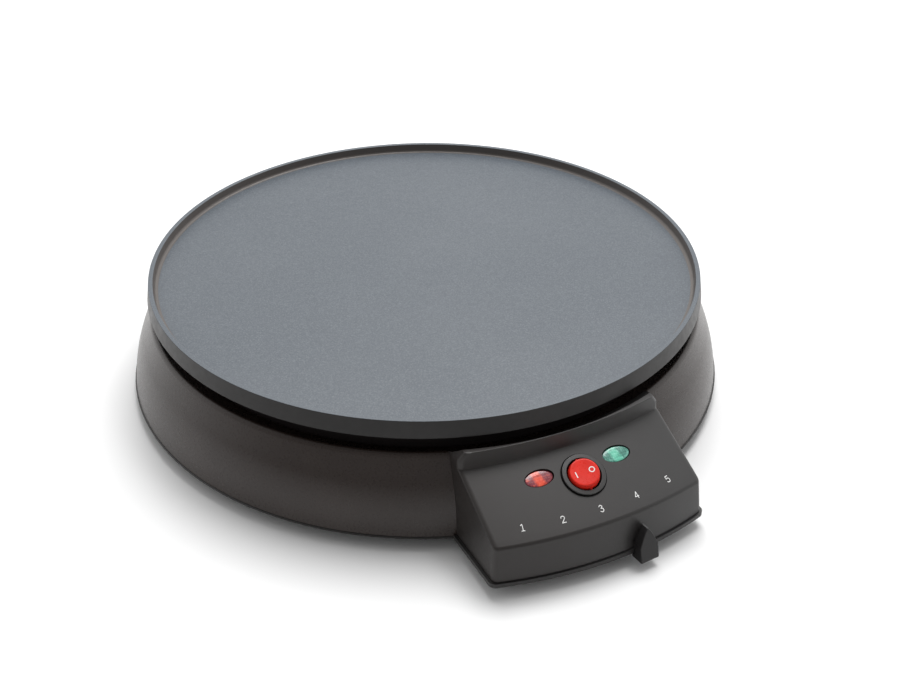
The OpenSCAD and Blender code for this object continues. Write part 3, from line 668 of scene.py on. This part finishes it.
def make_housing():
    width = [(9.2, 58.7), (27.47, 57.5), (46.1, 56.5), (49.4, 56.3), (51.3, 56.05), (52.6, 55.6), (53.6, 54.9), (54.3, 54.0), (54.75, 53.0), (55.0, 51.9), (55.1, 50.9)]
    radius = [(9.2, 205), (27.47, 238), (46.1, 239)]
    corner = [(9.2, 3.2), (46.1, 3.2), (51.1, 3.0), (53.7, 2.6), (54.7, 2.4), (55.1, 2.0)]
    side = fillet([(204.96, 9.2), (204.9, 9.42), (201.634, 27.473, 2.6), (162.3, 46.1, 0.6), (161.86, 55.1, 0.45), (160.8, 55.1)], 8)
    # extra rows so that the panel and the skirt shade evenly
    rows = []
    for (a, za), (b, zb) in zip(side, side[1:]):
        k = max(1, int(math.hypot(b - a, zb - za) / 3.5))
        rows += [(a + (b - a) * i / k, za + (zb - za) * i / k) for i in range(k)]
    rows.append(side[-1])
    seen, levels = -1, []
    for front, z in rows:
        if z > seen + 1e-4 and z <= 55.1:
            levels.append((front, z))
            seen = z
    body = loft("housing_shell", [[(x, y, z) for x, y in outline(lerp(width, z), front, lerp(radius, z), lerp(corner, z))] for front, z in levels])
    hollow = loft("hollow", [[(x, y, z) for x, y in outline(w, f, rr, 0.7, 118)] for z, w, f, rr in
                             [(6.2, 56.2, 202.5, 202.5), (23.675, 55.05, 199.35, 238), (25.45, 54.95, 197.6, 238), (43.35, 54.0, 162.05, 239)]])
    gap = lathe("gap", [(0, -5), (168.62, -5)] + base_profile(0.12) + [(154.12, 49.4), (157.6, 51.2), (163, 56.6), (163, 80), (0, 80)], 360)
    combine(body, [hollow, gap], "DIFFERENCE")
    posts = []
    for s in (-1, 1):
        m = Matrix.Translation((s * 51.6, -189, 0))
        p = cylinder("post", 4.2, 8.92, 24.92, 40, m)
        combine(p, [block("web", (s * 51.6 - (0 if s > 0 else 4.6), -190, 9.2), (s * 51.6 + (4.6 if s > 0 else 0), -188, 23.2))], "UNION")
        posts.append(p)
    combine(body, posts, "UNION")
    cuts = [cylinder("hole", 10.1, -12, 12, 96, SWITCH)]
    for s in (-1, 1):
        cuts.append(cylinder("hole", 1.55, 7, 22.6, 32, Matrix.Translation((s * 51.6, -189, 0))))
        cuts.append(loft("hole", [[(x, y, z) for x, y in lens_shape(15.6, 9.0)] for z in (-10, 10)], LENS[s]))
    combine(body, cuts, "DIFFERENCE")
    shade(body, 38)
    dress(body, MAT["housing_plastic"])
    stand_in(body, "base", "housing_plastic", "control_housing")


# ---------------------------------------------------------------- switch, lamps, marks

def make_switch():
    bezel = fillet([(8.5, 0.6, 0.1), (8.9, 1.12, 0.2), (10.95, 1.06, 0.25), (11.15, 0.7, 0.15), (11.18, 0.14, 0.05), (11.6, 0.1), (11.6, 0.05), (9.95, 0.05), (9.95, -13, 0.3), (0, -13), (0, -10), (8.5, -10, 0.2)], 6)
    bezel = [(max(0.0, r), z) for r, z in bezel]
    body = lathe("switch_housing", bezel, 128, SWITCH)
    ears = [block("ear", (9.8, -2.5, -6), (11.2, 2.5, -3.4), SWITCH), block("ear", (-11.2, -2.5, -6), (-9.8, 2.5, -3.4), SWITCH)]
    combine(body, ears, "UNION")
    cuts = [cylinder("bore", 0.75, -9.5, 9.5, 32, SWITCH @ Matrix.Rotation(math.radians(90), 4, "X"))]
    cuts += [block("slot", (s * 4.4 - 0.45, -3.2, -16), (s * 4.4 + 0.45, 3.2, -8), SWITCH) for s in (-1, 1)]
    combine(body, cuts, "DIFFERENCE")
    shade(body, 40)
    dress(body, MAT["switch_black"], MAT["gap_shade_black"])
    inv = SWITCH.inverted()
    # painted shade: the bezel's outer edge ring and the wall of its bore round the rocker take the near-black colour,
    # standing in for the shadow in those gaps
    for f in body.data.polygons:
        c = inv @ Vector((f.center.x / MM, f.center.y / MM - AXIS_Y, f.center.z / MM))
        r = math.hypot(c.x, c.y)
        if r > 11.13 or (r < 8.75 and c.z < 0.85):
            f.material_index = 1
    stand_in(body, "base", "switch_black", "switch_body")

    tilt = SWITCH @ Matrix.Rotation(math.radians(-9), 4, "Y")
    ball = [(7.92 * math.cos(math.radians(a)), 7.92 * math.sin(math.radians(a))) for a in (-29, -20, -10, 0, 6, 12, 18, 22)]
    # a rounded edge and a slightly dished face
    top = [(7.24, 3.22), (7.15, 3.37), (7.02, 3.47), (6.88, 3.52), (6.7, 3.54), (6.3, 3.53), (5.2, 3.49), (3.6, 3.44), (1.8, 3.41), (0, 3.40)]
    button = lathe("switch_rocker", [(0, -4.2), (7.2, -4.2)] + ball + top, 128, tilt)
    combine(button, [cylinder("pin", 0.7, -9.4, 9.4, 40, tilt @ Matrix.Rotation(math.radians(90), 4, "X"), 0.1)], "UNION")
    shade(button, 40)
    dress(button, MAT["rocker_red"])
    stand_in(button, "rocker", "rocker_red", "rocker_button")

    def dish(x, y):
        return lerp([(0, 3.40), (1.8, 3.41), (3.6, 3.44), (5.2, 3.49), (6.3, 3.53), (6.7, 3.54)], math.hypot(x, y))

    marks = [stroke([(-4.3, -1.35), (-4.3, 1.35)], 0.55, dish, tilt, 0.004, 0.25)]
    ring = [(3.9 + 1.28 * math.cos(2 * math.pi * i / 48), 1.28 * math.sin(2 * math.pi * i / 48)) for i in range(49)]
    marks.append(stroke(ring, 0.5, dish, tilt, 0.004, 0.25, closed=True))
    mk = join("rocker_marks", marks)
    shade(mk, 30, False)
    dress(mk, MAT["mark_white"])
    stand_in(mk, "rocker", "rocker_red")


def stroke(path, width, height, matrix, lift, sink, closed=False, cap=True):
    """An inked line of that width along a path of (x, y), raised by lift over height(x, y), as a thin closed solid."""
    pts = [Vector((p[0], p[1])) for p in path]
    if closed:
        pts = pts[:-1]
    n = len(pts)
    left, right = [], []
    for i, p in enumerate(pts):
        if closed:
            d = (pts[(i + 1) % n] - pts[i - 1]).normalized()
        else:
            d = (pts[min(i + 1, n - 1)] - pts[max(i - 1, 0)]).normalized()
        o = Vector((-d.y, d.x)) * (width / 2)
        if not closed and 0 < i < n - 1:
            a, b = (pts[i] - pts[i - 1]).normalized(), (pts[i + 1] - pts[i]).normalized()
            o /= max(0.5, math.sqrt(max(0.0, (1 + a.dot(b)) / 2)))
        left.append(p + o)
        right.append(p - o)
    if closed:
        outer, inner = left, right
        verts, faces = [], []
        for z0 in (1, 0):
            for q in outer + inner:
                h = height(q.x, q.y) + (lift if z0 else -sink)
                verts.append((q.x, q.y, h))
        m = 2 * n
        for i in range(n):
            j = (i + 1) % n
            faces.append([i, j, n + j, n + i])
            faces.append([m + i, m + n + i, m + n + j, m + j])
            faces.append([i, m + i, m + j, j])
            faces.append([n + i, n + j, m + n + j, m + n + i])
        return new_object("stroke", verts, faces, matrix)
    if cap:
        def round_end(centre, start, side, steps=6):
            r = width / 2
            a0 = math.atan2(start.y - centre.y, start.x - centre.x)
            return [centre + Vector((math.cos(a0 + side * math.pi * k / steps), math.sin(a0 + side * math.pi * k / steps))) * r for k in range(1, steps)]
        loop = left + round_end(pts[-1], left[-1], -1) + right[::-1] + round_end(pts[0], right[0], -1)
    else:
        loop = left + right[::-1]
    k = len(loop)
    # the top face is a strip of quads so that it follows a curved surface
    verts = [(q.x, q.y, height(q.x, q.y) + lift) for q in loop] + [(q.x, q.y, height(q.x, q.y) - sink) for q in loop]
    faces = [[i, (i + 1) % k, k + (i + 1) % k, k + i] for i in range(k)]
    faces += [list(range(k)), list(range(k, 2 * k))[::-1]]
    return new_object("stroke", verts, faces, matrix)


DIGITS = {
    "1": [[(-1.15, 1.75), (0.05, 2.55)], [(0.05, 2.55), (0.05, -2.5)], [(-1.1, -2.5), (1.2, -2.5)]],
    "2": [[(-1.35, 1.35), (-1.2, 2.05), (-0.65, 2.55), (0.05, 2.65), (0.8, 2.5), (1.25, 2.0), (1.35, 1.35), (1.1, 0.65), (0.5, -0.15), (-0.35, -1.15), (-1.45, -2.4)],
          [(-1.45, -2.4), (1.5, -2.4)]],
    "3": [[(-1.25, 1.8), (-0.75, 2.4), (0.0, 2.6), (0.75, 2.35), (1.15, 1.7), (0.95, 0.95), (0.35, 0.45), (-0.35, 0.3)],
          [(-0.35, 0.3), (0.6, 0.2), (1.2, -0.3), (1.4, -1.0), (1.2, -1.8), (0.6, -2.4), (-0.15, -2.6), (-0.9, -2.4), (-1.4, -1.85)]],
    "4": [[(0.75, -2.65), (0.75, 2.55)], [(0.75, 2.55), (-1.5, -1.1)], [(-1.5, -1.1), (1.55, -1.1)]],
    "5": [[(1.2, 2.4), (-0.95, 2.4)], [(-0.95, 2.4), (-1.15, 0.35)],
          [(-1.15, 0.35), (-0.5, 0.6), (0.15, 0.65), (0.9, 0.35), (1.35, -0.3), (1.4, -1.0), (1.15, -1.8), (0.55, -2.35), (-0.2, -2.5), (-0.9, -2.3), (-1.35, -1.8)]],
}


def make_digits():
    parts = []
    for k, az in zip("12345", (-12, -6, 0, 6, 12)):
        t = math.radians(az)
        r = 194.6
        cx, cy = r * math.sin(t), -r * math.cos(t)
        for path in DIGITS[k]:
            world = []
            for x, y in path:
                # the panel slopes, so a millimetre up the digit is less in plan
                x, y = x * 0.66, y * 0.66 * math.cos(SLOPE)
                world.append((cx + x * math.cos(t) - y * math.sin(t), cy + x * math.sin(t) + y * math.cos(t)))
            parts.append(stroke(world, 0.33, lambda u, v: panel_z(-v, u), None, 0.02, 0.3))
    ob = join("dial_digits", parts)
    shade(ob, 30, False)
    dress(ob, MAT["mark_white"])
    stand_in(ob, "base", "housing_plastic")


def make_lens(s):
    rows = []
    rings = [(17.6, 11.0, -5.4), (17.6, 11.0, -3.8), (14.8, 8.2, -3.8), (14.8, 8.2, -0.92), (14.7, 8.1, -0.82), (14.3, 7.8, -0.74), (13.0, 7.0, -0.66), (11.0, 5.9, -0.59), (8.0, 4.3, -0.54), (4.0, 2.2, -0.52)]
    for w, d, z in rings:
        rows.append([(x, y, z) for x, y in lens_shape(w, d)])
    name = "red_lamp_lens" if s < 0 else "green_lamp_lens"
    ob = loft(name, rows, LENS[s])
    shade(ob, 40)
    slot = "lens_red" if s < 0 else "lens_green"
    dress(ob, MAT[slot])
    stand_in(ob, "base", slot, "red_lens" if s < 0 else "green_lens")


# ---------------------------------------------------------------- heat lever knob

def make_knob():
    def half_width(z):
        return 5.3 if z <= 12.4 else max(0.42, 5.28 * (1 - min(1.0, (z - 12.4) / 9.2)) ** 0.75)

    def front(z):
        return lerp([(4.0, 212.55), (5.2, 212.78), (21.0, 208.8), (21.6, 208.6)], z)

    def back(z):
        return lerp([(4.0, 204.9), (5.93, 204.9), (5.95, 206.5), (9.1, 206.5), (12.0, 205.6), (21.6, 204.4)], z)

    zs = [4.0, 4.05, 4.15, 4.3, 4.5, 5.0, 5.5, 5.93, 5.95, 6.5, 7.3, 8.2, 9.1, 9.9, 10.7, 11.5, 12.0] + [12.4 + 9.2 * i / 44 for i in range(44)] + [21.5, 21.6]
    sections = []
    for z in zs:
        inset = 0.0
        if z < 4.5:
            q = (4.5 - z) / 0.5
            inset = 0.5 * (1 - math.sqrt(max(0.0, 1 - q * q)))
        w = max(0.12, half_width(z) - inset)
        f, b = front(z) - inset, back(z) + inset
        r = min(0.45, w * 0.7, (f - b) * 0.3)
        pts = fillet([(w, -b, min(0.25, r)), (w, -f, r), (-w, -f, r), (-w, -b, min(0.25, r))], 5)
        sections.append([(x, y, z) for x, y in pts])
    knob = loft("heat_lever_knob", sections, LEVER)
    combine(knob, [block("slot", (-2.6, -210.4, 3), (2.6, -202.4, 5.94), LEVER), block("slot", (-2.6, -210.3, 3), (2.6, -208.6, 13.4), LEVER)], "DIFFERENCE")
    shade(knob, 34)
    dress(knob, MAT["knob_plastic"])
    stand_in(knob, "lever", "knob_plastic", "lever_knob")


# ---------------------------------------------------------------- everything else keeps its shape from the frame

SLOT_OF = {
    "heating_element": "element_sheath", "element_terminals": "terminal_brass", "element_clips": "zinc_steel", "clip_screws": "zinc_steel",
    "heat_reflector": "reflector_steel", "plate_spacers": "ceramic_white", "plate_screws": "zinc_steel", "fibre_washers": "fibre",
    "bottom_cover": "cover_plastic", "rubber_feet": "foot_rubber", "foot_screws": "zinc_steel", "cover_screws": "zinc_steel",
    "thermostat_body": "ceramic_white", "thermostat_bracket": "zinc_steel", "bracket_screws": "zinc_steel", "thermostat_terminals": "terminal_brass",
    "lever_shaft": "zinc_steel", "lever_arm": "zinc_steel", "lever_nut": "terminal_brass", "switch_terminals": "terminal_brass",
    "neon_lamps": "lamp_glass", "lamp_holders": "holder_white", "terminal_block": "ceramic_white", "terminal_screws": "terminal_brass",
    "thermal_fuse": "fuse_white", "fuse_clip": "zinc_steel", "cord_gland": "gland_black", "gland_nut": "gland_black",
    "live_wire": "wire_brown", "neutral_wire": "wire_blue", "earth_wire": "wire_green", "earth_tab": "terminal_brass",
}


def dress_frame():
    for name, slot in SLOT_OF.items():
        dress(NODES[name], MAT[slot])


def make_stage():
    me = bpy.data.meshes.new("floor")
    s = 6.0
    me.from_pydata([(-s, -s, 0), (s, -s, 0), (s, s, 0), (-s, s, 0)], [], [[0, 1, 2, 3]])
    floor = bpy.data.objects.new("floor", me)
    bpy.context.scene.collection.objects.link(floor)
    dress(floor, mat_floor())
    area_light("top_light", (0.40, 0.44, 1.50), (0.0, 0.02, 0.05), 1.05, 0.8, 25.0)
    world = bpy.data.worlds.new("studio")
    bpy.context.scene.world = world
    world.use_nodes = True
    t = world.node_tree
    bg = t.nodes["Background"]
    # a white room that is dim on the side the griddle's front looks at
    gaze = t.nodes.new("ShaderNodeTexCoord").outputs["Generated"]
    dot = t.nodes.new("ShaderNodeVectorMath")
    dot.operation = "DOT_PRODUCT"
    t.links.new(gaze, dot.inputs[0])
    dot.inputs[1].default_value = (-0.446, -0.895, 0.0)
    fade = t.nodes.new("ShaderNodeMapRange")
    fade.interpolation_type = "SMOOTHSTEP"
    for k, v in (("From Min", -0.28), ("From Max", 0.66), ("To Min", 1.24), ("To Max", 0.34)):
        fade.inputs[k].default_value = v
    t.links.new(dot.outputs["Value"], fade.inputs["Value"])
    # and less bright overhead than at the sides
    height = t.nodes.new("ShaderNodeSeparateXYZ")
    t.links.new(gaze, height.inputs[0])
    lid = t.nodes.new("ShaderNodeMapRange")
    lid.interpolation_type = "SMOOTHSTEP"
    for k, v in (("From Min", 0.45), ("From Max", 0.85), ("To Min", 1.0), ("To Max", 0.50)):
        lid.inputs[k].default_value = v
    t.links.new(height.outputs[2], lid.inputs["Value"])
    both = t.nodes.new("ShaderNodeMath")
    both.operation = "MULTIPLY"
    t.links.new(fade.outputs[0], both.inputs[0])
    t.links.new(lid.outputs[0], both.inputs[1])
    t.links.new(both.outputs[0], bg.inputs["Color"])
    bg.inputs["Strength"].default_value = 1.0
    scene = bpy.context.scene
    scene.view_settings.view_transform = "Standard"
    scene.view_settings.look = "None"
    scene.view_settings.exposure = 0.0
    scene.view_settings.gamma = 1.0


make_camera()
make_stage()
make_plate()
make_base()
make_housing()
make_switch()
make_digits()
for side in (-1, 1):
    make_lens(side)
make_knob()
dress_frame()

bpy.context.view_layer.update()
